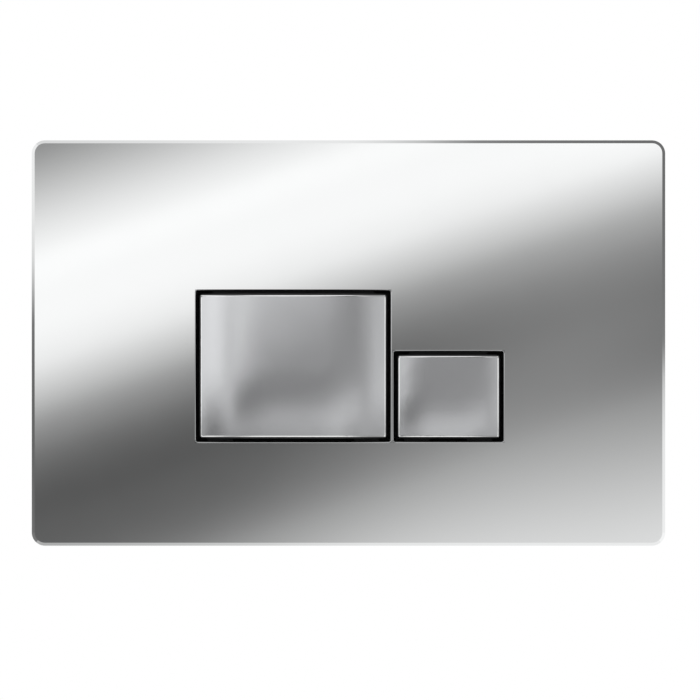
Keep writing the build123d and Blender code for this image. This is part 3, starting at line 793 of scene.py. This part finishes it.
def side_cards(studio):
    """Strip lights, dark flags and shaded cards on all four sides.

    They draw the rims and the bevelled edges.
    """
    front, strip_end, flag_end, back_end = -studio.card, -420 * MM, -120 * MM, 1500 * MM
    to_right, to_top, to_back = (1, 0, 0), (0, 0, 1), (0, 1, 0)
    # Tones by millimetres along a card. Those of the strips and flags are shares of a strength.
    # The strips have darker stretches, so that the plate mirrors soft bands from other sides too.
    strip_tones = [(-600, 1), (-330, 1), (-190, 0.5), (-95, 1), (85, 1), (180, 0.5), (360, 0.4),
                   (480, 0.9), (600, 1)]
    flag_tones = [(-500, 1.5), (0, 1), (500, 0.6)]
    back_tones = [(120, 0.30), (550, 0.72), (1000, 0.88), (1500, 0.45)]
    sides = {
        "left": ((-1, 0, 0), to_top, 0.22,
                 [(-150, 0.18), (10, 0.17), (37, 0.60), (64, 0.80), (150, 0.85)]),
        "right": ((1, 0, 0), to_top, 0.28,
                  [(-150, 0.92), (-70, 0.83), (-42, 0.75), (-15, 0.5), (2, 0.2), (150, 0.15)]),
        "low": ((0, 0, -1), to_right, 0.3,
                [(-150, 0.42), (-40, 0.64), (10, 0.78), (150, 0.84)]),
        "high": ((0, 0, 1), to_right, 0.28,
                 [(-150, 0.70), (0, 0.80), (40, 0.50), (60, 0.28), (80, 0.20), (150, 0.15)]),
    }
    for side, (outward, along, flag, side_tones) in sides.items():
        # Each card: where it starts outwards, its start and end in depth, and its tones.
        cards = {
            "strip": (CARD_EDGE, front, strip_end, along, studio.strip, strip_tones),
            "flag": (ROOM_EDGE, strip_end, flag_end, along, flag, flag_tones),
            "side": (ROOM_EDGE, flag_end, -flag_end, along, 1, side_tones),
            "back": (ROOM_EDGE, -flag_end, back_end, to_back, 1, back_tones),
        }
        for card, (reach, start, end, direction, strength, tones) in cards.items():
            name = f"card_{card}_{side}"
            one = Vector(outward) * reach + Vector((0, start, 0))
            two = Vector(outward) * ROOM_EDGE + Vector((0, end, 0))
            material, tree = new_material(name)
            tone = tone_along(tree, direction, [(at * MM, strength * share) for at, share in tones])
            hang_card(name, material, tone, (one + two) / 2, Vector(along) * 2 * ROOM_EDGE,
                      two - one)


class FLUSHPLATE_OT_studio(bpy.types.Operator):
    """Set the camera, the floor, the soft light and the cards that the chrome mirrors"""
    bl_idname = "flush_plate.studio"
    bl_label = "Studio"

    def execute(self, context):
        studio = context.scene.flush_plate_studio
        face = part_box("front_plate")[0].y
        context.scene.view_settings.view_transform = "Standard"
        set_camera(studio, face)
        set_world()
        front_card(studio, face)
        side_cards(studio)
        paper, tree = new_material("studio_floor_paper")
        shader = add_node(tree, "ShaderNodeBsdfPrincipled", {
            "Base Color": (*linear("#F4F4F2"), 1), "Roughness": 0.9})
        add_node(tree, "ShaderNodeOutputMaterial", {"Surface": shader})
        stage_panel("studio_floor", centre=(0, -0.4, studio.floor), across=(2.4, 0, 0),
                    along=(0, 1.5, 0), material=paper, seen=True)
        soft_lamp("lamp_key", place=(0.7, -1.0, 1.1), target=(0, 0, 0), size=0.9, watts=9)
        soft_lamp("lamp_back", place=(-0.9, 1.2, 0.8), target=(0, 0.05, 0), size=0.9, watts=9)
        return {"FINISHED"}


class FLUSHPLATE_PT_panel(bpy.types.Panel):
    """Lists the steps that dress the flush plate"""
    bl_idname = "FLUSHPLATE_PT_panel"
    bl_label = "Flush plate"
    bl_space_type = "VIEW_3D"
    bl_region_type = "UI"
    bl_category = "Flush plate"

    def draw(self, context):
        for step in STEPS:
            self.layout.operator(step.bl_idname)


STEPS = (
    FLUSHPLATE_OT_studio,
    FLUSHPLATE_OT_front_plate,
    FLUSHPLATE_OT_buttons,
    FLUSHPLATE_OT_tray,
    FLUSHPLATE_OT_mounting_frame,
    FLUSHPLATE_OT_push_rods,
    FLUSHPLATE_OT_springs,
    FLUSHPLATE_OT_fixing_bolts,
)
GROUPS = {
    "flush_plate_finishes": FlushPlateFinishes,
    "flush_plate_springs": FlushPlateSprings,
    "flush_plate_bolts": FlushPlateBolts,
    "flush_plate_studio": FlushPlateStudio,
}


def register():
    for item in (*GROUPS.values(), *STEPS, FLUSHPLATE_PT_panel):
        bpy.utils.register_class(item)
    for name, group in GROUPS.items():
        setattr(bpy.types.Scene, name, bpy.props.PointerProperty(type=group))


def unregister():
    for name in GROUPS:
        delattr(bpy.types.Scene, name)
    for item in (FLUSHPLATE_PT_panel, *reversed(STEPS), *reversed(GROUPS.values())):
        bpy.utils.unregister_class(item)


def main():
    register()
    for step in STEPS:
        group, name = step.bl_idname.split(".")
        getattr(getattr(bpy.ops, group), name)()


if __name__ == "__main__":
    main()
